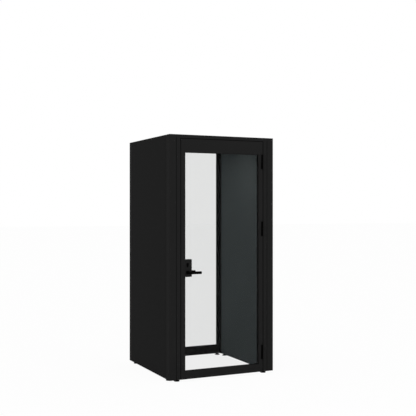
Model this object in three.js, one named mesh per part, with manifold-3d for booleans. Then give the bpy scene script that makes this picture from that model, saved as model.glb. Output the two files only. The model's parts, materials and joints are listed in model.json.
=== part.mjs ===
// Acoustic office pod for one person, in millimetres, with Z up.
// Every piece is drawn with x from the left face, y back from the front face,
// and z up from the body's underside. The last lines move the whole pod so that
// its box stands centred on the origin with its feet at z = 0.
import * as THREE from "three";
import { mergeVertices } from "three/addons/utils/BufferGeometryUtils.js";
import Module from "manifold-3d";

const wasm = await Module();
wasm.setup();

// Overall sizes
const WIDTH = 1100;
const DEPTH = 1100;
const HEIGHT = 2300;
const FOOT_H = 18;
const BODY_H = HEIGHT - FOOT_H;

// Gaps: between pieces that rest on each other, and round what turns or slides
const FIT = 0.3;
const RUN = 0.6;

// How far a cutting shape runs past the face that it opens
const PAST = 1;

// Posts and hollow sections
const POST_W = 68;
const POST_D = 87;
const POST_R = 4;
const POST_CAP = 4;
const SKIN = 3;
const SLOT = 8;
const SLOT_DEEP = 6;
const EDGE = 1.2;
const SEAM = 2;

// Side walls, which are as thick as a post is wide
const OUTER_T = 18;
const FELT_T = 12;
const FELT_Z0 = 2;
const WALL_RAIL = 42;
const WALL_Y0 = POST_D + FIT;
const WALL_Y1 = DEPTH - POST_D - FIT;
const FRAME_X0 = OUTER_T + FIT;
const FRAME_X1 = POST_W - FELT_T - FIT;

// Doorway and door
const JAMB_W = 42.5;
const JAMB_X = POST_W + JAMB_W;
const DOOR_GAP = 5;
const DOOR_T = 44;
const DOOR_X0 = JAMB_X + DOOR_GAP;
const DOOR_X1 = WIDTH - DOOR_X0;
const DOOR_Z0 = 0;
const HEADER_H = 33;
const HEADER_Z = BODY_H - HEADER_H;
const DOOR_Z1 = HEADER_Z - DOOR_GAP;
const STILE_W = 43.7;
const FACE_WALL = 9;
const TOP_RAIL = 127;
const BOTTOM_RAIL = 75.5;
const GLASS_X0 = DOOR_X0 + STILE_W;
const GLASS_Z0 = DOOR_Z0 + BOTTOM_RAIL;
const GLASS_Z1 = DOOR_Z1 - TOP_RAIL;

// Door stop and its seal
const SEAL_T = 4;
const SEAL_W = 12;
const SEAL_IN = 4;
const STOP_Y = DOOR_T + SEAL_T;
const STOP_LAP = 20;
const STOP_Z = DOOR_Z1 - STOP_LAP;
const SEAL_X0 = DOOR_X0 + SEAL_IN;
const SEAL_Z1 = DOOR_Z1 - SEAL_IN;

// Glazing: a pane in a groove, with a gasket round its edge
const GLASS_T = 10;
const GROOVE_W = 16;
const GROOVE_DEEP = 15;
const EDGE_ROOM = 4;
const BEAD = 2;

// Rear glazing, set in from the rear face
const REAR_T = 30;
const REAR_IN = 20;
const REAR_Y = DEPTH - REAR_IN - REAR_T;
const REAR_MID = REAR_Y + REAR_T / 2;
const REAR_STILE_W = 32;
const REAR_X0 = POST_W + REAR_STILE_W;
const REAR_RAIL_H = 93.5;

// Roof, ceiling and what they carry
const TRAY_H = 44;
const ROOF_T = 18;
const ROOF_Z1 = BODY_H - TRAY_H;
const ROOF_Z0 = ROOF_Z1 - ROOF_T;
const CEILING_T = 20;
const CEILING_Z0 = ROOF_Z0 - CEILING_T;
const REAR_LAP = 6;
const REAR_TOP = CEILING_Z0 + REAR_LAP;
const LIGHT_L = 420;
const LIGHT_W = 110;
const LIGHT_T = 14;
const LIGHT_R = 12;
const LIGHT_Y = 400;
const GRILLE_SLOTS = 5;
const GRILLE_PITCH = 20;
const GRILLE_GAP = 10;
const GRILLE_RIM = 6;

// Fan on the roof, under a wire guard
const FAN_SETBACK = 340;
const FAN_X = WIDTH / 2;
const FAN_Y = DEPTH - FAN_SETBACK;
const FAN_SIZE = 120;
const FAN_R = 8;
const FAN_T = 38;
const FAN_BORE = 112;
const FAN_HUB_R = 21;
const FAN_SHAFT_R = 3;
const SHAFT_DROP = 10;
const HUB_DROP = 4;
const STRUT_T = 5;
const STRUT_W = 6;
const STRUT_TURNS = [30, 150, 270];
const GUARD_T = 2;
const GUARD_RINGS = [18, 31, 44];
const GUARD_WIRE = 2;
const GUARD_BAR = 2.4;
const GUARD_LAP = 3;
const BLADES = 7;
const BLADE_CHORD = 26;
const BLADE_T = 2.2;
const BLADE_ROOT_PITCH = 48;
const BLADE_TIP_PITCH = 26;
const BLADE_TIP_GAP = 3;

// Power inlet on the roof: a box with a well and three prongs
const INLET_SIDE = 240;
const INLET_SETBACK = 200;
const INLET_X = WIDTH - INLET_SIDE;
const INLET_Y = DEPTH - INLET_SETBACK;
const INLET_W = 64;
const INLET_D = 48;
const INLET_H = 30;
const INLET_R = 5;
const WELL_W = 28;
const WELL_D = 20;
const WELL_R = 3;
const WELL_FLOOR = 12;
const PRONG_W = 2;
const PRONG_D = 4;
const PRONG_H = 11;
const PRONGS = [
  [-7, -2],
  [0, 3],
  [7, -2],
];

// Levelling feet
const PAD_R = 28;
const PAD_T = 7;
const STEM_R = 5;
const PAD_LIP = 2;
const PAD_SLOPE = 5;
const COLLAR_R = 16;
const COLLAR_LOW = 1;
const COLLAR_HIGH = 4.5;
const STEM_TOP = 46;
const STEM_ROOM = 10;
const STEM_HOLE = STEM_TOP + STEM_ROOM;
const FOOT_PLATE = 8;
const FOOT_BLOCK = 60;
const FOOT_IN = 22;
const FOOT_X = POST_W + FOOT_IN;
const FRONT_FOOT_Y = 43;
const REAR_FOOT_IN = 30;
const REAR_FOOT_Y = DEPTH - REAR_FOOT_IN;
const WALL_FOOT_X = (FRAME_X0 + FRAME_X1) / 2;
const WALL_FOOT_IN = 22;

// Lock on the glass: a case in two halves, levers, cylinder and bolts
const MID = DOOR_T / 2;
const CASE_IN = 1;
const CASE_X0 = GLASS_X0 + CASE_IN;
const CASE_W = 68.3;
const CASE_H = 164.4;
const CASE_Z0 = 953.6;
const CASE_R = 5;
const CASE_BEVEL = 2;
const CASE_Y0 = 5;
const NOTCH_LAP = 9;
const NOTCH_R = 8;
const BACKSET = 24.3;
const AXIS_X = CASE_X0 + BACKSET;
const LEVER_Z = 994;
const KEY_Z = 1072;
const SPINDLE = 8;
const SPINDLE_HOLE_R = 7;
const LEVER_REACH = 57;
const LEVER_LENGTH = 122;
const GRIP_HALF = 8;
const GRIP_RISE = 13;
const BEND = 18;
const SOCKET_DEEP = 20;
const SPINDLE_LAP = 5;
const ROSE_R = 18;
const ROSE_T = 2.5;
const RIM = 3.5;
const EURO_R = 8.5;
const EURO_LEG = 5;
const EURO_DROP = 19.5;
const CYL_PROUD = 3;
const PLUG_R = 6.2;
const KEY_W = 2;
const KEY_H = 9;
const KEY_DEEP = 4;
const WING_W = 10;
const WING_H = 28;
const WING_R = 4.8;
const WING_REACH = 20;
const WING_BEVEL = 1;
const WING_LAP = 2;
const BOLT_T = 9.4;
const BOLT_BACK = 2;
const LATCH_NOSE = 1;
const LATCH_H = 18;
const LATCH_OUT = 12;
const DEADBOLT_H = 22;
const STRIKE_T = 2;
const STRIKE_W = 24;
const STRIKE_PAST = 22;
const STRIKE_WALL = 7;

// Hinges
const HINGE_UP = 194;
const HINGE_DOWN = 197;
const HINGE_STEP = 652;
const HINGE_ZS = {
  bottom: DOOR_Z0 + HINGE_UP,
  middle: DOOR_Z1 - HINGE_DOWN - HINGE_STEP,
  top: DOOR_Z1 - HINGE_DOWN,
};
const HINGE_L = 138;
const HINGE_CAP = 4;
const KNUCKLE_R = 10.5;
const PIN_R = 4;
const HINGE_IN = 8;
const HINGE_X = DOOR_X1 - HINGE_IN;
const HINGE_Y = -5;
const LEAF_T = 3;
const LEAF_W = 34;

const paint = new THREE.MeshStandardMaterial({ color: 0x202020, roughness: 0.55, metalness: 0.1 });
const black = new THREE.MeshStandardMaterial({ color: 0x0b0b0b, roughness: 0.45, metalness: 0.3 });
const felt = new THREE.MeshStandardMaterial({ color: 0x3a3f41, roughness: 0.95, metalness: 0 });
const wool = new THREE.MeshStandardMaterial({ color: 0x8d8a80, roughness: 1, metalness: 0 });
const timber = new THREE.MeshStandardMaterial({ color: 0xb28d5c, roughness: 0.8, metalness: 0 });
const glass = new THREE.MeshStandardMaterial({ color: 0xc9d6d3, roughness: 0.05, metalness: 0 });
const rubber = new THREE.MeshStandardMaterial({ color: 0x141414, roughness: 0.85, metalness: 0 });
const steel = new THREE.MeshStandardMaterial({ color: 0x9a9c9e, roughness: 0.35, metalness: 0.9 });
const lens = new THREE.MeshStandardMaterial({ color: 0xf4f2ea, roughness: 0.4, metalness: 0 });

const pod = new THREE.Group();
const door = new THREE.Group();
pod.add(door);

// Puts a named piece into a group.
function place(group, name, geometry, material) {
  const mesh = new THREE.Mesh(geometry, material);
  mesh.name = name;
  group.add(mesh);
}

// The two sides, as a name and a rule that carries an x on the left to its place on that side.
const SIDES = [
  ["left", (x) => x],
  ["right", (x) => WIDTH - x],
];

// Shapes that need no cutting

function block(xa, xb, y0, y1, z0, z1) {
  const box = new THREE.BoxGeometry(Math.abs(xb - xa), y1 - y0, z1 - z0);
  return box.translate((xa + xb) / 2, (y0 + y1) / 2, (z0 + z1) / 2);
}

// A line of points, turned to run clockwise or not.
function wound(line, clockwise) {
  const points = line.map(([a, b]) => new THREE.Vector2(a, b));
  return THREE.ShapeUtils.isClockWise(points) === clockwise ? points : points.reverse();
}

function shapeOf(outline, holes) {
  const shape = new THREE.Shape(wound(outline, false));
  for (const hole of holes) shape.holes.push(new THREE.Path(wound(hole, true)));
  return shape;
}

const ALONG_X = new THREE.Matrix4().makeBasis(
  new THREE.Vector3(0, 1, 0),
  new THREE.Vector3(0, 0, 1),
  new THREE.Vector3(1, 0, 0),
);
const ALONG_Y = new THREE.Matrix4().makeBasis(
  new THREE.Vector3(0, 0, 1),
  new THREE.Vector3(1, 0, 0),
  new THREE.Vector3(0, 1, 0),
);

// A plan outline [x, y] raised from z0 to z1.
function upright(outline, z0, z1, holes = []) {
  const flat = { depth: z1 - z0, bevelEnabled: false };
  return new THREE.ExtrudeGeometry(shapeOf(outline, holes), flat).translate(0, 0, z0);
}

// A side outline [y, z] run from x0 to x1.
function level(outline, x0, x1, holes = []) {
  const flat = { depth: x1 - x0, bevelEnabled: false };
  const run = new THREE.ExtrudeGeometry(shapeOf(outline, holes), flat);
  return run.translate(0, 0, x0).applyMatrix4(ALONG_X);
}

// A front outline [x, z] pushed back from y0 to y1, with its edges bevelled if a bevel is given.
function facing(outline, y0, y1, holes = [], bevel = 0) {
  const turn = (line) => line.map(([x, z]) => [z, x]);
  const push = new THREE.ExtrudeGeometry(shapeOf(turn(outline), holes.map(turn)), {
    depth: y1 - y0 - 2 * bevel,
    bevelEnabled: bevel > 0,
    bevelThickness: bevel,
    bevelSize: bevel,
    bevelOffset: -bevel,
    bevelSegments: 1,
  });
  return push.translate(0, 0, y0 + bevel).applyMatrix4(ALONG_Y);
}

function rect(a0, a1, b0, b1) {
  return [
    [a0, b0],
    [a1, b0],
    [a1, b1],
    [a0, b1],
  ];
}

// Points of an arc, in degrees, both ends included.
function arc(a, b, radius, from, to, steps = 5) {
  return Array.from({ length: steps + 1 }, (_, i) => {
    const turn = THREE.MathUtils.degToRad(from + ((to - from) * i) / steps);
    return [a + radius * Math.cos(turn), b + radius * Math.sin(turn)];
  });
}

function circle(a, b, radius, steps = 32) {
  return arc(a, b, radius, 0, 360 - 360 / steps, steps - 1);
}

function roundRect(a0, a1, b0, b1, radius) {
  return [
    ...arc(a1 - radius, b1 - radius, radius, 0, 90),
    ...arc(a0 + radius, b1 - radius, radius, 90, 180),
    ...arc(a0 + radius, b0 + radius, radius, 180, 270),
    ...arc(a1 - radius, b0 + radius, radius, 270, 360),
  ];
}

// Round bars, upright and front to back
function rod(x, y, radius, z0, z1, sides = 24) {
  return upright(circle(x, y, radius, sides), z0, z1);
}

function rodBack(x, z, radius, y0, y1, sides = 24) {
  return facing(circle(x, z, radius, sides), y0, y1);
}

// Booleans

function solid(geometry) {
  const bare = geometry.index ? geometry.toNonIndexed() : geometry.clone();
  for (const name of Object.keys(bare.attributes)) {
    if (name !== "position") bare.deleteAttribute(name);
  }
  const merged = mergeVertices(bare, 1e-3);
  return new wasm.Manifold(
    new wasm.Mesh({
      numProp: 3,
      vertProperties: merged.attributes.position.array,
      triVerts: new Uint32Array(merged.index.array),
    }),
  );
}

function geometryOf(body) {
  const mesh = body.getMesh();
  const made = new THREE.BufferGeometry();
  made.setAttribute("position", new THREE.BufferAttribute(mesh.vertProperties, 3));
  made.setIndex(new THREE.BufferAttribute(mesh.triVerts, 1));
  const flat = made.toNonIndexed();
  flat.computeVertexNormals();
  return flat;
}

// Joins the first list of shapes and takes the second list away.
function carve(joined, taken = []) {
  let body = solid(joined[0]);
  for (const more of joined.slice(1)) body = body.add(solid(more));
  for (const less of taken) body = body.subtract(solid(less));
  return geometryOf(body);
}

// Corner posts: capped hollow sections with a slot for the wall and one for the front or rear frame

function postOutline(frameSlotY) {
  const half = SLOT / 2;
  const wallSlotX = (FRAME_X0 + FRAME_X1) / 2;
  return [
    ...arc(POST_R, POST_R, POST_R, 180, 270),
    [POST_W - SEAM, 0],
    [POST_W, SEAM],
    [POST_W, frameSlotY - half],
    [POST_W - SLOT_DEEP, frameSlotY - half],
    [POST_W - SLOT_DEEP, frameSlotY + half],
    [POST_W, frameSlotY + half],
    [POST_W, POST_D],
    [wallSlotX + half, POST_D],
    [wallSlotX + half, POST_D - SLOT_DEEP],
    [wallSlotX - half, POST_D - SLOT_DEEP],
    [wallSlotX - half, POST_D],
    [SEAM, POST_D],
    [0, POST_D - SEAM],
  ];
}

const postHollow = rect(SKIN, POST_W - SLOT_DEEP - SKIN, SKIN, POST_D - SLOT_DEEP - SKIN);
for (const [side, at] of SIDES) {
  const front = ([x, y]) => [at(x), y];
  const rear = ([x, y]) => [at(x), DEPTH - y];
  const frontPost = postOutline(POST_D / 2).map(front);
  const rearPost = postOutline(REAR_IN + REAR_T / 2).map(rear);
  const bore = (carry) => upright(postHollow.map(carry), -PAST, BODY_H - POST_CAP);
  place(pod, `post_front_${side}`, carve([upright(frontPost, 0, BODY_H)], [bore(front)]), paint);
  place(pod, `post_rear_${side}`, carve([upright(rearPost, 0, BODY_H)], [bore(rear)]), paint);
}

// Side walls: outer panel, frame with an acoustic core, felt lining

function panelOutline(at, face, back) {
  const into = Math.sign(back - face) * EDGE;
  return [
    [at(face + into), WALL_Y0],
    [at(face), WALL_Y0 + EDGE],
    [at(face), WALL_Y1 - EDGE],
    [at(face + into), WALL_Y1],
    [at(back), WALL_Y1],
    [at(back), WALL_Y0],
  ];
}

const wallFeetY = [WALL_Y0 + WALL_FOOT_IN, WALL_Y1 - WALL_FOOT_IN];
const FRAME_Z1 = ROOF_Z0 - FIT;
for (const [side, at] of SIDES) {
  place(pod, `${side}_outer_panel`, upright(panelOutline(at, 0, OUTER_T), 0, BODY_H), paint);
  const frameX = [at(FRAME_X0), at(FRAME_X1)].sort((a, b) => a - b);
  const gap = rect(WALL_Y0 + WALL_RAIL, WALL_Y1 - WALL_RAIL, WALL_RAIL, FRAME_Z1 - WALL_RAIL);
  const ring = level(rect(WALL_Y0, WALL_Y1, 0, FRAME_Z1), ...frameX, [gap]);
  const stemHoles = wallFeetY.map((y) => rod(at(WALL_FOOT_X), y, STEM_R + FIT, -PAST, STEM_HOLE));
  place(pod, `${side}_wall_frame`, carve([ring], stemHoles), timber);
  const core = block(
    ...frameX,
    WALL_Y0 + WALL_RAIL + FIT,
    WALL_Y1 - WALL_RAIL - FIT,
    WALL_RAIL + FIT,
    FRAME_Z1 - WALL_RAIL - FIT,
  );
  place(pod, `${side}_wall_core`, core, wool);
  const lining = upright(panelOutline(at, POST_W, POST_W - FELT_T), FELT_Z0, FRAME_Z1);
  place(pod, `${side}_felt_panel`, lining, felt);
}

// Doorway: header and jambs with a stop behind the door

const headerLine = [
  [0, HEADER_Z],
  [STOP_Y, HEADER_Z],
  [STOP_Y, STOP_Z],
  [POST_D, STOP_Z],
  [POST_D, BODY_H],
  [0, BODY_H],
];
const headerHollows = [
  rect(SKIN, STOP_Y - SKIN, HEADER_Z + SKIN, BODY_H - SKIN),
  rect(STOP_Y + SKIN, POST_D - SKIN, STOP_Z + SKIN, BODY_H - SKIN),
];
const header = level(headerLine, POST_W + FIT, WIDTH - POST_W - FIT, headerHollows);
place(pod, "front_header", header, paint);

const STOP_X = DOOR_X0 + STOP_LAP;
const boltGap = (z, height) => [MID - BOLT_T / 2, MID + BOLT_T / 2, z - height / 2, z + height / 2];

// A bolt's own hole from x0 to x1, with room round the bolt.
function boltHole(x0, x1, z, height, room) {
  const [y0, y1, z0, z1] = boltGap(z, height);
  return block(x0, x1, y0 - room, y1 + room, z0 - room, z1 + room);
}

const strikeZ = [LEVER_Z - LATCH_H / 2 - STRIKE_PAST, KEY_Z + DEADBOLT_H / 2 + STRIKE_PAST];
const mortise = block(
  JAMB_X - STRIKE_T - FIT,
  JAMB_X + PAST,
  MID - STRIKE_W / 2 - FIT,
  MID + STRIKE_W / 2 + FIT,
  strikeZ[0] - FIT,
  strikeZ[1] + FIT,
);
const strikeRun = [JAMB_X - STRIKE_WALL - PAST, JAMB_X + PAST];
const strikeHoles = [
  boltHole(...strikeRun, LEVER_Z, LATCH_H, RUN),
  boltHole(...strikeRun, KEY_Z, DEADBOLT_H, RUN),
];

for (const [side, at] of SIDES) {
  const x0 = POST_W + FIT;
  const line = [
    [at(x0), SEAM],
    [at(x0 + SEAM), 0],
    [at(JAMB_X - EDGE), 0],
    [at(JAMB_X), EDGE],
    [at(JAMB_X), STOP_Y],
    [at(STOP_X), STOP_Y],
    [at(STOP_X), POST_D],
    [at(x0), POST_D],
  ];
  const bar = upright(line, 0, HEADER_Z - FIT);
  const taken = [
    block(at(x0 - PAST), at(STOP_X + PAST), STOP_Y - FIT, POST_D + PAST, STOP_Z - FIT, HEADER_Z),
    block(at(x0 + SKIN), at(JAMB_X - STRIKE_WALL), SKIN, STOP_Y - SKIN, FOOT_PLATE, HEADER_Z),
    rod(at(FOOT_X), FRONT_FOOT_Y, STEM_R + FIT, -PAST, STEM_HOLE),
  ];
  if (side === "left") taken.push(mortise, ...strikeHoles);
  place(pod, `jamb_${side}`, carve([bar], taken), paint);
}

const strike = block(
  JAMB_X - STRIKE_T,
  JAMB_X,
  MID - STRIKE_W / 2,
  MID + STRIKE_W / 2,
  ...strikeZ,
);
place(pod, "strike_plate", carve([strike], strikeHoles), steel);

const sealLine = [
  [SEAL_X0, DOOR_Z0],
  [SEAL_X0 + SEAL_W, DOOR_Z0],
  [SEAL_X0 + SEAL_W, SEAL_Z1 - SEAL_W],
  [WIDTH - SEAL_X0 - SEAL_W, SEAL_Z1 - SEAL_W],
  [WIDTH - SEAL_X0 - SEAL_W, DOOR_Z0],
  [WIDTH - SEAL_X0, DOOR_Z0],
  [WIDTH - SEAL_X0, SEAL_Z1],
  [SEAL_X0, SEAL_Z1],
];
place(pod, "door_seal", facing(sealLine, DOOR_T + FIT, STOP_Y - FIT), rubber);

// Grooved sections for the door and the rear glazing.
// The outline runs from a = 0 on the plain edge to a = wide on the grooved edge, b is the thickness.
function groovedLine(wide, thick) {
  const g0 = (thick - GROOVE_W) / 2;
  const g1 = (thick + GROOVE_W) / 2;
  return [
    [0, EDGE],
    [EDGE, 0],
    [wide, 0],
    [wide, g0],
    [wide - GROOVE_DEEP, g0],
    [wide - GROOVE_DEEP, g1],
    [wide, g1],
    [wide, thick],
    [EDGE, thick],
    [0, thick - EDGE],
  ];
}

function groovedHollow(wide, thick, faceWall) {
  return rect(SKIN, wide - GROOVE_DEEP - SKIN, faceWall, thick - SKIN);
}

// A gasket that wraps the edge of a pane: window gives the clear opening as x0, x1, z0, z1.
function gasket(window, y0, y1, taken = []) {
  const [x0, x1, z0, z1] = window;
  const far = GROOVE_DEEP - FIT;
  const outer = rect(x0 - far, x1 + far, z0 - far, z1 + far);
  const inner = rect(x0 + BEAD, x1 - BEAD, z0 + BEAD, z1 - BEAD);
  const [p0, p1, q0, q1] = paneBox(window);
  const middle = (y0 + y1) / 2;
  const room = GLASS_T / 2 + FIT;
  const slit = block(p0 - FIT, p1 + FIT, middle - room, middle + room, q0 - FIT, q1 + FIT);
  return carve([facing(outer, y0 + FIT, y1 - FIT, [inner])], [slit, ...taken]);
}

function paneBox([x0, x1, z0, z1]) {
  const into = GROOVE_DEEP - EDGE_ROOM;
  return [x0 - into, x1 + into, z0 - into, z1 + into];
}

// Rear glazing

const rearY = [REAR_MID - GROOVE_W / 2, REAR_MID + GROOVE_W / 2];
const rearWindow = [REAR_X0, WIDTH - REAR_X0, REAR_RAIL_H, REAR_TOP];
const rearStileW = REAR_STILE_W - FIT;
for (const [side, at] of SIDES) {
  const carry = ([a, b]) => [at(POST_W + FIT + a), REAR_Y + b];
  const bar = upright(groovedLine(rearStileW, REAR_T).map(carry), 0, REAR_TOP - FIT);
  const hollow = groovedHollow(rearStileW, REAR_T, SKIN).map(carry);
  const grooveFill = [at(REAR_X0 - GROOVE_DEEP - PAST), at(REAR_X0)];
  const stemBlock = block(...grooveFill, rearY[0] - PAST, rearY[1] + PAST, 0, FOOT_BLOCK);
  const stemHole = rod(at(FOOT_X), REAR_FOOT_Y, STEM_R + FIT, -PAST, STEM_HOLE);
  const stile = carve([bar, stemBlock], [upright(hollow, FOOT_BLOCK, REAR_TOP), stemHole]);
  place(pod, `rear_${side}_stile`, stile, paint);
}
const upFromRail = ([a, b]) => [REAR_Y + b, a];
const rearRail = level(
  groovedLine(REAR_RAIL_H, REAR_T).map(upFromRail),
  REAR_X0 + FIT,
  WIDTH - REAR_X0 - FIT,
  [groovedHollow(REAR_RAIL_H, REAR_T, SKIN).map(upFromRail)],
);
place(pod, "rear_bottom_rail", rearRail, paint);
const rearHeaderH = BODY_H - REAR_TOP;
const downFromTop = ([a, b]) => [REAR_Y + b, BODY_H - a];
const rearHeader = level(
  groovedLine(rearHeaderH, REAR_T).map(downFromTop),
  POST_W + FIT,
  WIDTH - POST_W - FIT,
  [groovedHollow(rearHeaderH, REAR_T, SKIN).map(downFromTop)],
);
place(pod, "rear_header", rearHeader, paint);
const [rx0, rx1, rz0, rz1] = paneBox(rearWindow);
const rearPane = block(rx0, rx1, REAR_MID - GLASS_T / 2, REAR_MID + GLASS_T / 2, rz0, rz1);
place(pod, "rear_glass", rearPane, glass);
place(pod, "rear_glazing_gasket", gasket(rearWindow, ...rearY), rubber);

// Roof tray, ceiling, light, fan and power inlet

const roofLine = [
  [OUTER_T + FIT, WALL_Y0],
  [WIDTH - OUTER_T - FIT, WALL_Y0],
  [WIDTH - OUTER_T - FIT, WALL_Y1],
  [WIDTH - POST_W - FIT, WALL_Y1],
  [WIDTH - POST_W - FIT, REAR_Y - FIT],
  [POST_W + FIT, REAR_Y - FIT],
  [POST_W + FIT, WALL_Y1],
  [OUTER_T + FIT, WALL_Y1],
];
const fanHole = circle(FAN_X, FAN_Y, FAN_BORE / 2);
place(pod, "roof_panel", upright(roofLine, ROOF_Z0, ROOF_Z1, [fanHole]), paint);

const lightX = [WIDTH / 2 - LIGHT_L / 2, WIDTH / 2 + LIGHT_L / 2];
const lightY = [LIGHT_Y - LIGHT_W / 2, LIGHT_Y + LIGHT_W / 2];
const pocket = upright(
  roundRect(lightX[0] - FIT, lightX[1] + FIT, lightY[0] - FIT, lightY[1] + FIT, LIGHT_R),
  CEILING_Z0 - PAST,
  CEILING_Z0 + LIGHT_T + FIT,
);
const grilleSlots = Array.from({ length: GRILLE_SLOTS }, (_, i) => {
  const off = (i - (GRILLE_SLOTS - 1) / 2) * GRILLE_PITCH;
  const half = Math.sqrt((FAN_BORE / 2 - GRILLE_RIM) ** 2 - off ** 2);
  const y0 = FAN_Y + off - GRILLE_GAP / 2;
  const slot = roundRect(FAN_X - half, FAN_X + half, y0, y0 + GRILLE_GAP, GRILLE_GAP / 2 - PAST / 10);
  return upright(slot, CEILING_Z0 - PAST, ROOF_Z0 + PAST);
});
const ceiling = block(
  POST_W + FIT,
  WIDTH - POST_W - FIT,
  WALL_Y0,
  REAR_Y - FIT,
  CEILING_Z0,
  ROOF_Z0 - FIT,
);
place(pod, "ceiling_panel", carve([ceiling], [pocket, ...grilleSlots]), felt);
const diffuser = upright(roundRect(...lightX, ...lightY, LIGHT_R), CEILING_Z0, CEILING_Z0 + LIGHT_T);
place(pod, "light_diffuser", diffuser, lens);

const fanZ = ROOF_Z1 + FIT;
const fanHalf = FAN_SIZE / 2;
const fanBody = upright(
  roundRect(FAN_X - fanHalf, FAN_X + fanHalf, FAN_Y - fanHalf, FAN_Y + fanHalf, FAN_R),
  fanZ,
  fanZ + FAN_T,
  [circle(FAN_X, FAN_Y, FAN_BORE / 2)],
);
const strutL = FAN_BORE / 2 + PAST;
const struts = STRUT_TURNS.map((turn) => {
  const arm = new THREE.BoxGeometry(strutL, STRUT_W, STRUT_T);
  arm.translate(strutL / 2, 0, STRUT_T / 2);
  return arm.rotateZ(THREE.MathUtils.degToRad(turn)).translate(FAN_X, FAN_Y, fanZ);
});
const bossZ1 = fanZ + STRUT_T + PAST;
const shaftZ1 = fanZ + FAN_T - SHAFT_DROP;
const fanBoss = rod(FAN_X, FAN_Y, FAN_HUB_R, fanZ, bossZ1);
const fanShaft = rod(FAN_X, FAN_Y, FAN_SHAFT_R, fanZ, shaftZ1, 12);
const guardZ = [fanZ + FAN_T - PAST, fanZ + FAN_T + GUARD_T];
const guardRings = GUARD_RINGS.map((r) => {
  const outside = circle(FAN_X, FAN_Y, r + GUARD_WIRE / 2, 24);
  const inside = circle(FAN_X, FAN_Y, r - GUARD_WIRE / 2, 24);
  return upright(outside, ...guardZ, [inside]);
});
const guardBars = [45, 135].map((turn) => {
  const bar = new THREE.BoxGeometry(FAN_BORE + 2 * GUARD_LAP, GUARD_BAR, GUARD_T + PAST);
  bar.rotateZ(THREE.MathUtils.degToRad(turn));
  return bar.translate(FAN_X, FAN_Y, (guardZ[0] + guardZ[1]) / 2);
});
const fanPieces = [fanBody, ...struts, fanBoss, fanShaft, ...guardBars, ...guardRings];
place(pod, "fan_frame", carve(fanPieces), black);

// A rotor blade, flatter towards its tip than at its root.
function blade(root, tip, chord, thick) {
  const plate = new THREE.BoxGeometry(tip - root, chord, thick, 5, 1, 1);
  const points = plate.getAttribute("position");
  for (let i = 0; i < points.count; i += 1) {
    const out = points.getX(i) / (tip - root) + 0.5;
    const pitch = THREE.MathUtils.degToRad(THREE.MathUtils.lerp(BLADE_ROOT_PITCH, BLADE_TIP_PITCH, out));
    const wide = points.getY(i) * (0.8 + 0.4 * out);
    const high = points.getZ(i);
    points.setY(i, wide * Math.cos(pitch) - high * Math.sin(pitch));
    points.setZ(i, wide * Math.sin(pitch) + high * Math.cos(pitch));
  }
  return plate.translate((root + tip) / 2, 0, 0);
}

const rotorZ0 = bossZ1 + RUN;
const rotorZ1 = fanZ + FAN_T - HUB_DROP;
const blades = Array.from({ length: BLADES }, (_, i) =>
  blade(FAN_HUB_R - 2 * PAST, FAN_BORE / 2 - BLADE_TIP_GAP, BLADE_CHORD, BLADE_T)
    .rotateZ((2 * Math.PI * i) / BLADES)
    .translate(FAN_X, FAN_Y, (rotorZ0 + rotorZ1) / 2),
);
const rotorHub = rod(FAN_X, FAN_Y, FAN_HUB_R, rotorZ0, rotorZ1);
const rotorBore = rod(FAN_X, FAN_Y, FAN_SHAFT_R + FIT, rotorZ0 - PAST, shaftZ1 + PAST, 12);
place(pod, "fan_rotor", carve([rotorHub, ...blades], [rotorBore]), black);

// An outline of a given size round a middle point.
function centred(x, y, wide, deep, radius) {
  return roundRect(x - wide / 2, x + wide / 2, y - deep / 2, y + deep / 2, radius);
}

const inletZ = [ROOF_Z1 + FIT, ROOF_Z1 + FIT + INLET_H];
const wellZ = ROOF_Z1 + WELL_FLOOR;
const inletBody = upright(centred(INLET_X, INLET_Y, INLET_W, INLET_D, INLET_R), ...inletZ);
const inletWell = upright(centred(INLET_X, INLET_Y, WELL_W, WELL_D, WELL_R), wellZ, inletZ[1] + PAST);
const prongs = PRONGS.map(([x, y]) => {
  const prong = new THREE.BoxGeometry(PRONG_W, PRONG_D, PRONG_H + PAST);
  return prong.translate(INLET_X + x, INLET_Y + y, wellZ + (PRONG_H - PAST) / 2);
});
const well = solid(inletBody).subtract(solid(inletWell));
place(pod, "power_inlet", carve([geometryOf(well), ...prongs]), black);

// Levelling feet: a pad moulded on a threaded stem

function foot(x, y) {
  const profile = [
    [0, 0],
    [PAD_R - PAD_LIP, 0],
    [PAD_R, PAD_LIP],
    [PAD_R, PAD_T - PAD_LIP],
    [PAD_R - PAD_SLOPE, PAD_T],
    [COLLAR_R, PAD_T + COLLAR_LOW],
    [COLLAR_R, PAD_T + COLLAR_HIGH],
    [STEM_R, PAD_T + COLLAR_HIGH],
    [STEM_R, FOOT_H + STEM_TOP],
    [0, FOOT_H + STEM_TOP],
  ].map(([r, z]) => new THREE.Vector2(r, z));
  return new THREE.LatheGeometry(profile, 24).rotateX(Math.PI / 2).translate(x, y, -FOOT_H);
}

for (const [side, at] of SIDES) {
  place(pod, `foot_front_${side}`, foot(at(FOOT_X), FRONT_FOOT_Y), black);
  place(pod, `foot_rear_${side}`, foot(at(FOOT_X), REAR_FOOT_Y), black);
  place(pod, `foot_${side}_front`, foot(at(WALL_FOOT_X), wallFeetY[0]), black);
  place(pod, `foot_${side}_rear`, foot(at(WALL_FOOT_X), wallFeetY[1]), black);
}

// Door leaf: two stiles, two rails, a pane notched for the lock, and its gasket

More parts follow.
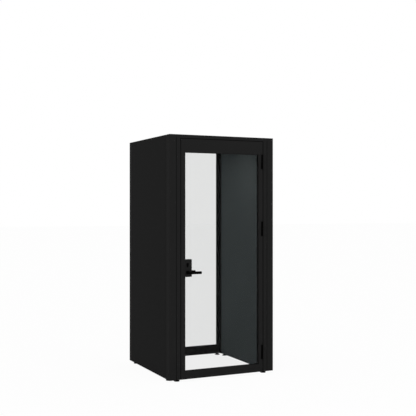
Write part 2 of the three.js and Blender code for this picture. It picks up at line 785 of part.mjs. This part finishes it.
const BOLT_RUN = [DOOR_X0 - PAST, GLASS_X0 - GROOVE_DEEP + PAST];
const stileBolts = [
  boltHole(...BOLT_RUN, LEVER_Z, LATCH_H, FIT),
  boltHole(...BOLT_RUN, KEY_Z, DEADBOLT_H, FIT),
];
const hingeScoops = Object.values(HINGE_ZS).map((z) =>
  rod(HINGE_X, HINGE_Y, KNUCKLE_R + RUN, z - HINGE_L / 2 - RUN, z + HINGE_L / 2 + RUN),
);
const stileNames = { left: "door_latch_stile", right: "door_hinge_stile" };
for (const [side, at] of SIDES) {
  const carry = ([a, b]) => [at(DOOR_X0 + a), b];
  const hollow = groovedHollow(STILE_W, DOOR_T, FACE_WALL).map(carry);
  const bar = upright(groovedLine(STILE_W, DOOR_T).map(carry), DOOR_Z0, DOOR_Z1, [hollow]);
  const taken = side === "left" ? stileBolts : hingeScoops;
  place(door, stileNames[side], carve([bar], taken), paint);
}
const railX = [GLASS_X0 + FIT, WIDTH - GLASS_X0 - FIT];
const downDoor = ([a, b]) => [b, DOOR_Z1 - a];
const topHollow = groovedHollow(TOP_RAIL, DOOR_T, SKIN).map(downDoor);
const topRail = level(groovedLine(TOP_RAIL, DOOR_T).map(downDoor), ...railX, [topHollow]);
place(door, "door_top_rail", topRail, paint);
const upDoor = ([a, b]) => [b, DOOR_Z0 + a];
const bottomHollow = groovedHollow(BOTTOM_RAIL, DOOR_T, SKIN).map(upDoor);
const bottomRail = level(groovedLine(BOTTOM_RAIL, DOOR_T).map(upDoor), ...railX, [bottomHollow]);
place(door, "door_bottom_rail", bottomRail, paint);

const doorWindow = [GLASS_X0, WIDTH - GLASS_X0, GLASS_Z0, GLASS_Z1];
const [gx0, gx1, gz0, gz1] = paneBox(doorWindow);
const CASE_X1 = CASE_X0 + CASE_W;
const CASE_Z1 = CASE_Z0 + CASE_H;
const notchX = CASE_X1 - NOTCH_LAP;
const notchZ = [CASE_Z0 + NOTCH_LAP, CASE_Z1 - NOTCH_LAP];
const paneLine = [
  [gx0, gz0],
  [gx1, gz0],
  [gx1, gz1],
  [gx0, gz1],
  [gx0, notchZ[1]],
  ...arc(notchX - NOTCH_R, notchZ[1] - NOTCH_R, NOTCH_R, 90, 0),
  ...arc(notchX - NOTCH_R, notchZ[0] + NOTCH_R, NOTCH_R, 0, -90),
  [gx0, notchZ[0]],
];
const glassY = [MID - GLASS_T / 2, MID + GLASS_T / 2];
place(door, "door_glass", facing(paneLine, ...glassY), glass);
const lockRoom = block(DOOR_X0, CASE_X1 + FIT, 0, DOOR_T, CASE_Z0 - FIT, CASE_Z1 + FIT);
const doorGroove = [MID - GROOVE_W / 2, MID + GROOVE_W / 2];
place(door, "door_glazing_gasket", gasket(doorWindow, ...doorGroove, [lockRoom]), rubber);

// Lock case: two halves that clamp through the notch in the pane, with a rose round each lever's neck

function euroLine(extra) {
  const reach = EURO_LEG + extra;
  const radius = EURO_R + extra;
  const meet = THREE.MathUtils.radToDeg(Math.acos(reach / radius));
  return [
    ...arc(AXIS_X, KEY_Z, radius, -meet, 180 + meet, 20),
    ...arc(AXIS_X, KEY_Z - EURO_DROP, reach, 180, 360, 8),
  ];
}

const caseFace = roundRect(CASE_X0, CASE_X1, CASE_Z0, CASE_Z1, CASE_R);
const SLOT_END = AXIS_X - SPINDLE_HOLE_R + PAST;
const DEADBOLT_END = AXIS_X - EURO_R - BOLT_BACK;
const rightThrough = [-PAST, DOOR_T + PAST];
const caseHoles = [
  rodBack(AXIS_X, LEVER_Z, SPINDLE_HOLE_R, ...rightThrough),
  facing(euroLine(FIT), ...rightThrough),
  boltHole(CASE_X0 - PAST, SLOT_END, LEVER_Z, LATCH_H, FIT),
  boltHole(CASE_X0 - PAST, DEADBOLT_END, KEY_Z, DEADBOLT_H, FIT),
];
const tongue = roundRect(CASE_X0, notchX - FIT, notchZ[0] + FIT, notchZ[1] - FIT, NOTCH_R - FIT);
const innerFace = DOOR_T - CASE_Y0;
const halves = {
  lock_case_outer: {
    cover: [CASE_Y0, glassY[0] - FIT],
    clamp: [glassY[0] - PAST, MID - FIT / 2],
    raised: [CASE_Y0 - ROSE_T, CASE_Y0 + PAST],
    seat: [CASE_Y0 - ROSE_T - PAST, CASE_Y0],
  },
  lock_case_inner: {
    cover: [glassY[1] + FIT, innerFace],
    clamp: [MID + FIT / 2, glassY[1] + PAST],
    raised: [innerFace - PAST, innerFace + ROSE_T],
    seat: [innerFace, innerFace + ROSE_T + PAST],
  },
};
for (const [name, { cover, clamp, raised, seat }] of Object.entries(halves)) {
  const joined = [
    facing(caseFace, ...cover, [], CASE_BEVEL),
    facing(tongue, ...clamp),
    rodBack(AXIS_X, LEVER_Z, ROSE_R, ...raised),
    facing(euroLine(RIM), ...raised),
  ];
  const leverSeat = rodBack(AXIS_X, LEVER_Z, GRIP_RISE + RUN, ...seat);
  place(door, name, carve(joined, [...caseHoles, leverSeat]), black);
}

// Levers: an oval bar swept out of the case, round a bend and along to a rounded tip

const toInside = (y) => DOOR_T - y;
const asDrawn = (y) => y;

function leverBar(carryY) {
  const neckY = CASE_Y0 - FIT;
  const gripY = GRIP_HALF - LEVER_REACH;
  const tipX = AXIS_X + LEVER_LENGTH - GRIP_HALF;
  const at = (x, y) => new THREE.Vector3(x, carryY(y), LEVER_Z);
  const path = new THREE.CurvePath();
  path.add(new THREE.LineCurve3(at(AXIS_X, neckY), at(AXIS_X, gripY + BEND)));
  const bend = [at(AXIS_X, gripY + BEND), at(AXIS_X, gripY), at(AXIS_X + BEND, gripY)];
  path.add(new THREE.QuadraticBezierCurve3(...bend));
  path.add(new THREE.LineCurve3(at(AXIS_X + BEND, gripY), at(tipX, gripY)));
  const oval = new THREE.Shape();
  oval.absellipse(0, 0, GRIP_RISE, GRIP_HALF, 0, 2 * Math.PI);
  const sweep = { extrudePath: path, steps: 26, curveSegments: 10, bevelEnabled: false };
  const tip = new THREE.SphereGeometry(1, 20, 12).rotateX(Math.PI / 2);
  tip.scale(GRIP_HALF, GRIP_HALF, GRIP_RISE).translate(tipX, carryY(gripY), LEVER_Z);
  return [new THREE.ExtrudeGeometry(oval, sweep), tip];
}

function squareBar(half, y0, y1) {
  return block(AXIS_X - half, AXIS_X + half, y0, y1, LEVER_Z - half, LEVER_Z + half);
}

const SOCKET_Y = CASE_Y0 - SOCKET_DEEP;
const socket = squareBar(SPINDLE / 2 + FIT, SOCKET_Y - FIT, CASE_Y0);
place(door, "outer_lever", carve(leverBar(asDrawn), [socket]), black);
const spindle = squareBar(SPINDLE / 2, SOCKET_Y, innerFace + SPINDLE_LAP);
place(door, "inner_lever", carve([...leverBar(toInside), spindle]), black);

// Bolts: the latch is sloped on the side that meets the strike as the door closes

const [boltY0, boltY1] = boltGap(LEVER_Z, LATCH_H);
const latchTip = DOOR_X0 - LATCH_OUT;
const latchTail = SLOT_END - LATCH_OUT - RUN;
const latchLine = [
  [latchTip, boltY0],
  [latchTail, boltY0],
  [latchTail, boltY1],
  [latchTip + BOLT_T - LATCH_NOSE, boltY1],
  [latchTip, boltY0 + LATCH_NOSE],
];
place(door, "latch_bolt", upright(latchLine, LEVER_Z - LATCH_H / 2, LEVER_Z + LATCH_H / 2), steel);
const deadbolt = block(DOOR_X0, DEADBOLT_END - RUN, ...boltGap(KEY_Z, DEADBOLT_H));
place(door, "deadbolt", deadbolt, steel);

// Cylinder with a plug that a thumb turn moves from inside

const CYL_Y = [CASE_Y0 - CYL_PROUD, innerFace + CYL_PROUD];
const plugBore = rodBack(AXIS_X, KEY_Z, PLUG_R + FIT, ...rightThrough);
place(door, "lock_cylinder", carve([facing(euroLine(0), ...CYL_Y)], [plugBore]), steel);
const THUMB_Y = [CYL_Y[1] + FIT, CYL_Y[1] + WING_REACH];
const wing = facing(centred(AXIS_X, KEY_Z, WING_W, WING_H, WING_R), ...THUMB_Y, [], WING_BEVEL);
const keyX = [AXIS_X - KEY_W / 2, AXIS_X + KEY_W / 2];
const keySlot = block(...keyX, 0, CYL_Y[0] + KEY_DEEP, KEY_Z - KEY_H / 2, KEY_Z + KEY_H / 2);
const plug = rodBack(AXIS_X, KEY_Z, PLUG_R, CYL_Y[0], THUMB_Y[0] + WING_LAP);
place(door, "thumb_turn", carve([plug, wing], [keySlot]), steel);

// Hinges: the lower knuckle is fast to the jamb, the upper one to the door

function hingeHalf(z0, z1, leafX, boreZ0, boreZ1) {
  const knuckle = rod(HINGE_X, HINGE_Y, KNUCKLE_R, z0, z1);
  const leaf = block(HINGE_X, leafX, -LEAF_T - FIT, -FIT, z0, z1);
  return carve([knuckle, leaf], [rod(HINGE_X, HINGE_Y, PIN_R + FIT, boreZ0, boreZ1, 16)]);
}

for (const [name, z] of Object.entries(HINGE_ZS)) {
  const low = z - HINGE_L / 2;
  const high = z + HINGE_L / 2;
  const jambLeafX = WIDTH - JAMB_X + LEAF_W;
  const doorLeafX = HINGE_X - KNUCKLE_R - LEAF_W;
  const lower = hingeHalf(low, z - FIT, jambLeafX, low + HINGE_CAP, z + PAST);
  const upper = hingeHalf(z + FIT, high, doorLeafX, z - PAST, high - HINGE_CAP);
  place(pod, `hinge_frame_leaf_${name}`, lower, black);
  place(door, `hinge_door_leaf_${name}`, upper, black);
  const pin = rod(HINGE_X, HINGE_Y, PIN_R, low + HINGE_CAP + FIT, high - HINGE_CAP - FIT, 16);
  place(pod, `hinge_pin_${name}`, pin, steel);
}

// The box of the pod, levers included, stands centred on the origin
pod.position.set(-WIDTH / 2, (LEVER_REACH - DEPTH) / 2, FOOT_H);
const acousticPod = new THREE.Group();
acousticPod.add(pod);

export default acousticPod;
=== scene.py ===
"""Looks for the acoustic office pod: a material for every CAD node, felt linings, hinge screws,
floor, light and camera. All sizes are in metres, in the CAD model's own frame."""

import json
import math

import bmesh
import bpy
from mathutils import Matrix, Vector, noise


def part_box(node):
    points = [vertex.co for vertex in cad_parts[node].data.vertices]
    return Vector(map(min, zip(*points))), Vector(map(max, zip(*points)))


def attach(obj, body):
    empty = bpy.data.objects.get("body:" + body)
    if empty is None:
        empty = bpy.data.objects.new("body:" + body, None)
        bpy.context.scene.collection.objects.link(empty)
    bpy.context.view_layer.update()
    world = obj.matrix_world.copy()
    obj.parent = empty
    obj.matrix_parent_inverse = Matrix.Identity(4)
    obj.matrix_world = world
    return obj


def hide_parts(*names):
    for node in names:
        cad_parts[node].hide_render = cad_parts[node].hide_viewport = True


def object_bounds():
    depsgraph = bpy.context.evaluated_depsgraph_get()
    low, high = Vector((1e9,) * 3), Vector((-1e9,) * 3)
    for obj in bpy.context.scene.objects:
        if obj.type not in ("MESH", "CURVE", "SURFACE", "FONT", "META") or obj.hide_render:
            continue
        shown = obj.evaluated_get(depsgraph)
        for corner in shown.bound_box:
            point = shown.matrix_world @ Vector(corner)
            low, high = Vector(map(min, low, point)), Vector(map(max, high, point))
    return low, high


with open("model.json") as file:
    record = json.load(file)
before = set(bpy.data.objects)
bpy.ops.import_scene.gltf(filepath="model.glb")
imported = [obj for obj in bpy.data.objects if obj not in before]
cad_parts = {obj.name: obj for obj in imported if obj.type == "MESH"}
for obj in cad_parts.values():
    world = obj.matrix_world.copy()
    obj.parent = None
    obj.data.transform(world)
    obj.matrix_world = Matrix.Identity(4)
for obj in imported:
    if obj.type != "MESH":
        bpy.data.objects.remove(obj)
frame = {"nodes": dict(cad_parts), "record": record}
nodes = frame["nodes"]
size_at_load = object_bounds()

scene = bpy.context.scene
scene.view_settings.view_transform = "Standard"

FRONT = Vector((0, -1, 0))
SIDES = ("left", "right")
LEVELS = ("top", "middle", "bottom")

# Hinges: the body that carries each leaf, how far the barrel reaches from the pin's axis,
# and how far behind that axis the leaf's face lies
LEAF_BODIES = {"frame": "pod", "door": "door"}
KNUCKLE_REACH = 0.0108
LEAF_FACE = 0.0017

# Hinge screws: their place from the leaf's outer edge and ends, a sloped head and a hexagon on it
SCREW_IN = 0.012
SCREW_END = 0.014
SCREW_R = 0.0052
SCREW_TOP_R = 0.0046
SCREW_T = 0.0006
SCREW_SIDES = 20
HEX_R = 0.0022
HEX_T = 0.0003
HEX_SIDES = 6

# Lock: how far the rose and the cylinder's rim stand out of the case, and the slack in telling
# their faces from the case's own
ROSE_PROUD = 0.0025
FACE_SLACK = 0.0001

# Joints in the frame, whose slanted faces carry painted shade: how slanted these faces are, and how far a
# post's rounded corner reaches
SEAM_SLANT = 0.6
ROUND_REACH = 0.006

# Felt linings: a rounded edge with rows at these shares of it, and the uneven pressed face
FELT_EDGE = 0.003
FELT_EDGE_STEPS = (0.0, 0.06, 0.2, 0.45, 1.0)
FELT_STEP = 0.02
FELT_LUMP = 0.0002
FELT_LUMP_SCALE = 45.0

# Noise in the materials: the fine grain and the larger patches
NOISE_ROUGHNESS = 0.65
GRAIN_DETAIL = 4
PATCH_SCALE = 3.0
PATCH_DETAIL = 3

# Glass: its tint with a faint haze, and how much it mirrors seen straight on and along its face
PANE_TINT = (0.934, 0.936, 0.935)
HAZE_DIM = 0.995
HAZE_SCALE = 2.5
HAZE_DETAIL = 2
PANE_MIRROR = (0.0032, 0.6)
PANE_SLANT_POWER = 5
SHINE_COLOUR = (0.9, 0.95, 0.95, 1)
SHINE_ROUGHNESS = 0.02

# Light: the pod's own ceiling light, the floor, the world and two soft lamps with place and power
WHITE = (1, 1, 1, 1)
CEILING_LIGHT = (1.0, 0.98, 0.94, 1)
CEILING_LIGHT_STRENGTH = 12.0
FLOOR_REACH = 60
FLOOR_COLOUR = (0.9, 0.9, 0.9, 1)
FLOOR_GLOW_SHARE = 0.95
WORLD_STRENGTH = 0.8
LAMP_SIZE = 3.0
LAMPS = {
    "key": ((2.0, -6.5, 5.0), 70),
    "fill": ((-5.5, -2.0, 4.0), 25),
}

# Camera: the photograph's frame and focal length in pixels, the turn to the right in radians,
# and where the foot of the near left corner lies from the eye
FRAME_PX = 416
FOCAL_PX = 776.2666
YAW = 0.4410876
CORNER_RIGHT = -0.355013
CORNER_AHEAD = 7.166628
EYE_UP = 1.597564


# Node helpers


def number_range(tree, value, low, high):
    """A 0 to 1 value spread over low to high."""
    spread = tree.nodes.new("ShaderNodeMapRange")
    spread.inputs["To Min"].default_value = low
    spread.inputs["To Max"].default_value = high
    tree.links.new(value, spread.inputs["Value"])
    return spread.outputs["Result"]


def maths(tree, operation, first, second, clamp=False):
    """The result of a Math node on a socket and on a second value, which is a socket or a number."""
    step = tree.nodes.new("ShaderNodeMath")
    step.operation = operation
    step.use_clamp = clamp
    tree.links.new(first, step.inputs[0])
    if isinstance(second, bpy.types.NodeSocket):
        tree.links.new(second, step.inputs[1])
    else:
        step.inputs[1].default_value = second
    return step.outputs["Value"]


def object_place(tree):
    return tree.nodes.new("ShaderNodeTexCoord").outputs["Object"]


def noise_value(tree, place, scale, detail, squeeze=(1, 1, 1)):
    """Noise in object space, made finer along each axis by squeeze."""
    mapping = tree.nodes.new("ShaderNodeMapping")
    mapping.inputs["Scale"].default_value = squeeze
    tree.links.new(place, mapping.inputs["Vector"])
    field = tree.nodes.new("ShaderNodeTexNoise")
    field.inputs["Scale"].default_value = scale
    field.inputs["Detail"].default_value = detail
    field.inputs["Roughness"].default_value = NOISE_ROUGHNESS
    tree.links.new(mapping.outputs["Vector"], field.inputs["Vector"])
    return field.outputs["Fac"]


def two_tone(tree, value, dark, light, low, high):
    """A colour that goes from dark to light as value goes from low to high."""
    ramp = tree.nodes.new("ShaderNodeValToRGB")
    first, last = ramp.color_ramp.elements
    first.position, last.position = low, high
    first.color, last.color = (*dark, 1), (*light, 1)
    tree.links.new(value, ramp.inputs["Fac"])
    return ramp.outputs["Color"]


def show_mix(tree, share, first, second, output):
    """Sends a mix of two shaders to the output; share is how much of the second one shows."""
    mix = tree.nodes.new("ShaderNodeMixShader")
    tree.links.new(share, mix.inputs["Fac"])
    tree.links.new(first, mix.inputs[1])
    tree.links.new(second, mix.inputs[2])
    tree.links.new(mix.outputs["Shader"], tree.nodes[output].inputs["Surface"])


def new_material(name):
    material = bpy.data.materials.new(name)
    material.use_nodes = True
    return material


# Materials


def grain(name, dark, light, scale, squeeze=(1, 1, 1), rough=(0.5, 0.6), bump=0.1, height=0.0004,
          spec=0.2, metal=0.0, contrast=(0.35, 0.65), patch=0.06):
    """A surface with fine grain in its colour, roughness and relief, and larger faint patches.

    contrast is where on the grain the dark and light colours lie, and patch is how far the patches vary.
    """
    material = new_material(name)
    tree = material.node_tree
    shader = tree.nodes["Principled BSDF"]
    shader.inputs["Specular IOR Level"].default_value = spec
    shader.inputs["Metallic"].default_value = metal
    place = object_place(tree)
    fine = noise_value(tree, place, scale, GRAIN_DETAIL, squeeze)
    cloud = noise_value(tree, place, PATCH_SCALE, PATCH_DETAIL)
    patches = number_range(tree, cloud, 1 - patch, 1 + patch)
    colour = tree.nodes.new("ShaderNodeVectorMath")
    colour.operation = "SCALE"
    tree.links.new(two_tone(tree, fine, dark, light, *contrast), colour.inputs[0])
    tree.links.new(patches, colour.inputs["Scale"])
    tree.links.new(colour.outputs["Vector"], shader.inputs["Base Color"])
    worn = maths(tree, "MULTIPLY", number_range(tree, fine, *rough), patches)
    tree.links.new(worn, shader.inputs["Roughness"])
    relief = tree.nodes.new("ShaderNodeBump")
    relief.inputs["Strength"].default_value = bump
    relief.inputs["Distance"].default_value = height
    tree.links.new(fine, relief.inputs["Height"])
    tree.links.new(relief.outputs["Normal"], shader.inputs["Normal"])
    return material


def pane_material(name):
    """Clear glass: light passes straight through, a little dimmed, with a faint reflection at a slant."""
    material = new_material(name)
    tree = material.node_tree
    tree.nodes.remove(tree.nodes["Principled BSDF"])
    clear = tree.nodes.new("ShaderNodeBsdfTransparent")
    haze = noise_value(tree, object_place(tree), HAZE_SCALE, HAZE_DETAIL)
    dimmer = [c * HAZE_DIM for c in PANE_TINT]
    tree.links.new(two_tone(tree, haze, dimmer, PANE_TINT, 0, 1), clear.inputs["Color"])
    shine = tree.nodes.new("ShaderNodeBsdfGlossy")
    shine.inputs["Color"].default_value = SHINE_COLOUR
    shine.inputs["Roughness"].default_value = SHINE_ROUGHNESS
    slant = tree.nodes.new("ShaderNodeLayerWeight").outputs["Facing"]
    steep = maths(tree, "POWER", slant, PANE_SLANT_POWER)
    mirrored = number_range(tree, steep, *PANE_MIRROR)
    show_mix(tree, mirrored, clear.outputs["BSDF"], shine.outputs["BSDF"], "Material Output")
    return material


def lit_lens(name):
    """The opal lens of the ceiling light, which is on."""
    lens = grain(name, (0.78, 0.77, 0.73), (0.86, 0.85, 0.81), scale=300, rough=(0.4, 0.5),
                 height=0.0003, spec=0.3)
    shader = lens.node_tree.nodes["Principled BSDF"]
    shader.inputs["Emission Color"].default_value = CEILING_LIGHT
    shader.inputs["Emission Strength"].default_value = CEILING_LIGHT_STRENGTH
    return lens


def grey(value):
    return (value, value, value)


paint = grain("powder_coat", grey(0.013), grey(0.019), scale=900, rough=(0.62, 0.74),
              bump=0.12, height=0.0003, spec=0.008)
board = grain("lacquered_board", grey(0.0102), grey(0.0155), scale=600, rough=(0.62, 0.74),
              bump=0.08, height=0.0003, spec=0.008)
hard = grain("satin_black", grey(0.0008), grey(0.0018), scale=1400, rough=(0.36, 0.48),
             bump=0.05, height=0.0001, spec=0.012)
lock = grain("lock_black", grey(0.0038), grey(0.0062), scale=1200, rough=(0.4, 0.5),
             bump=0.06, height=0.0001, spec=0.12)
steel = grain("brushed_steel", grey(0.42), grey(0.56), scale=500, squeeze=(1, 12, 12),
              rough=(0.28, 0.42), bump=0.08, height=0.0002, spec=0.5, metal=1.0)
felt = grain("pressed_felt", (0.043, 0.051, 0.054), (0.108, 0.125, 0.128), scale=420,
             squeeze=(1, 1, 1.6), rough=(0.9, 1.0), bump=0.5, height=0.0012, spec=0.05,
             contrast=(0.3, 0.7), patch=0.12)
wool = grain("wadding", (0.22, 0.2, 0.17), (0.5, 0.47, 0.42), scale=120, squeeze=(1, 1, 0.4),
             rough=(0.95, 1.0), bump=0.7, height=0.004, spec=0.02)
timber = grain("softwood", (0.32, 0.19, 0.09), (0.58, 0.4, 0.22), scale=60, squeeze=(3, 3, 0.15),
               rough=(0.6, 0.75), bump=0.2, height=0.0006)
rubber = grain("soft_rubber", grey(0.01), grey(0.02), scale=800, rough=(0.75, 0.9),
               bump=0.15, height=0.0002, spec=0.08)
plastic = grain("moulded_plastic", grey(0.004), grey(0.007), scale=1100, rough=(0.5, 0.62),
                bump=0.12, height=0.0002, spec=0.1)
# Near-black foot plastic, also used as painted shade on the slanted faces of the frame's joints
foot_and_seam_shade = grain("foot_plastic", grey(0.0012), grey(0.0026), scale=900, rough=(0.6, 0.75),
            bump=0.15, height=0.0002, spec=0.02)
opal = lit_lens("opal_lens")
glass = pane_material("clear_glass")

SLOT_MATERIALS = {
    "frame_paint": paint,
    "board_paint": board,
    "wall_timber": timber,
    "acoustic_wool": wool,
    "felt": felt,
    "glass": glass,
    "rubber": rubber,
    "hardware_black": hard,
    "hinge_black": hard,
    "steel": steel,
    "black_plastic": plastic,
    "foot_plastic": foot_and_seam_shade,
    "diffuser": opal,
}
NODE_MATERIALS = {
    "lock_case_outer": lock,
    "lock_case_inner": lock,
    "lock_cylinder": hard,
    "thumb_turn": hard,
}
for part in frame["record"]["subparts"]:
    name = part["node"]
    slots = nodes[name].data.materials
    slots.clear()
    slots.append(NODE_MATERIALS.get(name, SLOT_MATERIALS[part["material_slot"]]))


# Second materials on some faces of a node, for finishes and for painted shade


def give_faces_material(name, material, chosen):
    """Gives the faces of a node that chosen picks out a material of their own, which is a second finish
    on the hinges and lock and painted shade on the joints.
    """
    data = nodes[name].data
    data.materials.append(material)
    for face in data.polygons:
        face.material_index = 1 if chosen(face) else 0


def pin_axis(level):
    """The x and y of a hinge's pin."""
    low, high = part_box(f"hinge_pin_{level}")
    return (low.x + high.x) / 2, (low.y + high.y) / 2


def paint_leaf(kind, level):
    """Paints a hinge's leaf as the frame is, and leaves its barrel black."""
    axis_x = pin_axis(level)[0]
    give_faces_material(f"hinge_{kind}_leaf_{level}", paint,
                  lambda face: abs(face.center.x - axis_x) > KNUCKLE_REACH)


for level in LEVELS:
    for kind in LEAF_BODIES:
        paint_leaf(kind, level)

# The raised rose and cylinder rim on each half of the lock case are black
case_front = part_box("lock_case_outer")[0].y + ROSE_PROUD - FACE_SLACK
case_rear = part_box("lock_case_inner")[1].y - ROSE_PROUD + FACE_SLACK
give_faces_material("lock_case_outer", hard, lambda face: face.center.y < case_front)
give_faces_material("lock_case_inner", hard, lambda face: face.center.y > case_rear)

body_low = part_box("post_front_left")[0]
body_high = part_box("post_rear_right")[1]


def seam_shade_face(face):
    """True for an upright slanted face along a joint, away from a post's rounded corner; these faces get
    painted shade.
    """
    slanted = abs(face.normal.x) > SEAM_SLANT and abs(face.normal.y) > SEAM_SLANT
    by_side = min(face.center.x - body_low.x, body_high.x - face.center.x) < ROUND_REACH
    by_front = min(face.center.y - body_low.y, body_high.y - face.center.y) < ROUND_REACH
    return slanted and not (by_side and by_front)


# Painted shade: the slanted faces of the joints between posts, jambs and wall panels get the near-black
# foot plastic, standing in for the shade in the groove
for side in SIDES:
    for name in (f"post_front_{side}", f"post_rear_{side}", f"jamb_{side}", f"{side}_outer_panel"):
        give_faces_material(name, foot_and_seam_shade, seam_shade_face)


# Pieces


def new_piece(name, mesh, body, material):
    """Makes a piece of the object out of mesh, riding on a body."""
    data = bpy.data.meshes.new(name)
    bmesh.ops.recalc_face_normals(mesh, faces=mesh.faces)
    mesh.to_mesh(data)
    mesh.free()
    piece = bpy.data.objects.new(name, data)
    scene.collection.objects.link(piece)
    data.materials.append(material)
    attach(piece, body)
    return piece


def disc(mesh, centre, axis, base_r, top_r, thick, sides):
    """A round plate added to mesh, standing on centre along axis."""
    turn = Vector((0, 0, 1)).rotation_difference(axis).to_matrix().to_4x4()
    place = Matrix.Translation(centre + axis * thick / 2) @ turn
    bmesh.ops.create_cone(mesh, cap_ends=True, segments=sides, radius1=base_r, radius2=top_r,
                          depth=thick, matrix=place)


def hinge_screws(kind, level):
    """The two screws in one leaf of a hinge."""
    low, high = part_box(f"hinge_{kind}_leaf_{level}")
    x = high.x - SCREW_IN if kind == "frame" else low.x + SCREW_IN
    y = pin_axis(level)[1] + LEAF_FACE
    mesh = bmesh.new()
    for z in (low.z + SCREW_END, high.z - SCREW_END):
        seat = Vector((x, y, z))
        disc(mesh, seat, FRONT, SCREW_R, SCREW_TOP_R, SCREW_T, SCREW_SIDES)
        disc(mesh, seat + FRONT * SCREW_T, FRONT, HEX_R, HEX_R, HEX_T, HEX_SIDES)
    new_piece(f"hinge_screws_{kind}_{level}", mesh, LEAF_BODIES[kind], plastic)


for level in LEVELS:
    for kind in LEAF_BODIES:
        hinge_screws(kind, level)


def felt_stations(low, high):
    """Places across a felt panel: close together round its edges, then evenly spaced."""
    edge = [FELT_EDGE * share for share in FELT_EDGE_STEPS]
    inner = high - low - 2 * FELT_EDGE
    count = round(inner / FELT_STEP)
    middle = [low + FELT_EDGE + inner * i / count for i in range(1, count)]
    return [low + e for e in edge] + middle + [high - e for e in reversed(edge)]


def rounded_drop(inset):
    """How far the face falls back at a given distance from the panel's edge."""
    short = max(FELT_EDGE - inset, 0)
    return FELT_EDGE - math.sqrt(FELT_EDGE ** 2 - short ** 2)


def felt_lining(side):
    """A pressed felt panel with soft edges and a slightly uneven face, in place of its plain solid."""
    node = f"{side}_felt_panel"
    low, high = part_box(node)
    face_x, back_x = (high.x, low.x) if side == "left" else (low.x, high.x)
    into_panel = math.copysign(1, back_x - face_x)
    ys, zs = felt_stations(low.y, high.y), felt_stations(low.z, high.z)
    mesh = bmesh.new()
    rows = []
    for z in zs:
        row = []
        for y in ys:
            insets = min(y - low.y, high.y - y), min(z - low.z, high.z - z)
            lump = noise.noise(Vector((face_x, y, z)) * FELT_LUMP_SCALE)
            drop = max(rounded_drop(inset) for inset in insets) + FELT_LUMP * (1 + lump)
            row.append(mesh.verts.new((face_x + into_panel * drop, y, z)))
        rows.append(row)
    for lower, upper in zip(rows, rows[1:]):
        for corners in zip(lower, lower[1:], upper[1:], upper):
            mesh.faces.new(corners)
    up_far_end = [row[-1] for row in rows[1:]]
    down_near_end = [row[0] for row in rows[-2:0:-1]]
    rim = rows[0] + up_far_end + rows[-1][-2::-1] + down_near_end
    behind = [mesh.verts.new((back_x, vert.co.y, vert.co.z)) for vert in rim]
    for i, vert in enumerate(rim):
        after = (i + 1) % len(rim)
        mesh.faces.new((vert, behind[i], behind[after], rim[after]))
    mesh.faces.new(behind)
    piece = new_piece(f"{side}_felt_lining", mesh, "pod", felt)
    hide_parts(node)
    for face in piece.data.polygons[:-1]:
        face.use_smooth = True


for side in SIDES:
    felt_lining(side)


# Floor, world and lamps


def seen_directly(tree):
    """1 for rays that show the background: from the camera, off a mirror or through glass."""
    path = tree.nodes.new("ShaderNodeLightPath")
    total = path.outputs["Is Camera Ray"]
    for kind in ("Is Glossy Ray", "Is Transmission Ray"):
        total = maths(tree, "ADD", total, path.outputs[kind], clamp=True)
    return total


def floor_material(name):
    """White where it is seen, with a share of plain matt that keeps the pod's shadow."""
    material = new_material(name)
    tree = material.node_tree
    tree.nodes.remove(tree.nodes["Principled BSDF"])
    matt = tree.nodes.new("ShaderNodeBsdfDiffuse")
    matt.inputs["Color"].default_value = FLOOR_COLOUR
    glow = tree.nodes.new("ShaderNodeEmission")
    glow.inputs["Strength"].default_value = 1.0
    share = maths(tree, "MULTIPLY", seen_directly(tree), FLOOR_GLOW_SHARE)
    show_mix(tree, share, matt.outputs["BSDF"], glow.outputs["Emission"], "Material Output")
    return material


def lay_floor():
    mesh = bmesh.new()
    bmesh.ops.create_grid(mesh, x_segments=1, y_segments=1, size=FLOOR_REACH)
    data = bpy.data.meshes.new("floor")
    mesh.to_mesh(data)
    mesh.free()
    data.materials.append(floor_material("floor_white"))
    floor = bpy.data.objects.new("floor", data)
    scene.collection.objects.link(floor)


def light_world():
    """Even light from all round, seen as plain white."""
    world = bpy.data.worlds.new("studio")
    scene.world = world
    world.use_nodes = True
    tree = world.node_tree
    sky = tree.nodes["Background"]
    sky.inputs["Color"].default_value = WHITE
    sky.inputs["Strength"].default_value = WORLD_STRENGTH
    plain = tree.nodes.new("ShaderNodeBackground")
    plain.inputs["Color"].default_value = WHITE
    show_mix(tree, seen_directly(tree), sky.outputs["Background"], plain.outputs["Background"],
             "World Output")


def soft_lamp(name, at, power):
    """A round area lamp aimed at the middle of the pod."""
    data = bpy.data.lights.new(name, "AREA")
    data.shape = "DISK"
    data.size = LAMP_SIZE
    data.energy = power
    lamp = bpy.data.objects.new(name, data)
    scene.collection.objects.link(lamp)
    lamp.location = at
    middle = (size_at_load[0] + size_at_load[1]) / 2
    lamp.rotation_euler = (middle - Vector(at)).to_track_quat("-Z", "Y").to_euler()


lay_floor()
light_world()
for name, (at, power) in LAMPS.items():
    soft_lamp(name, at, power)


# Camera, level and placed from the foot of the near left corner post

camera_data = bpy.data.cameras.new("camera")
camera_data.sensor_fit = "HORIZONTAL"
camera_data.angle = 2 * math.atan(FRAME_PX / 2 / FOCAL_PX)
camera = bpy.data.objects.new("camera", camera_data)
scene.collection.objects.link(camera)
right = Vector((math.cos(YAW), -math.sin(YAW), 0))
ahead = Vector((math.sin(YAW), math.cos(YAW), 0))
eye_up = Vector((0, 0, EYE_UP))
camera.location = body_low - CORNER_RIGHT * right - CORNER_AHEAD * ahead + eye_up
camera.rotation_euler = (math.pi / 2, 0, -YAW)
scene.camera = camera
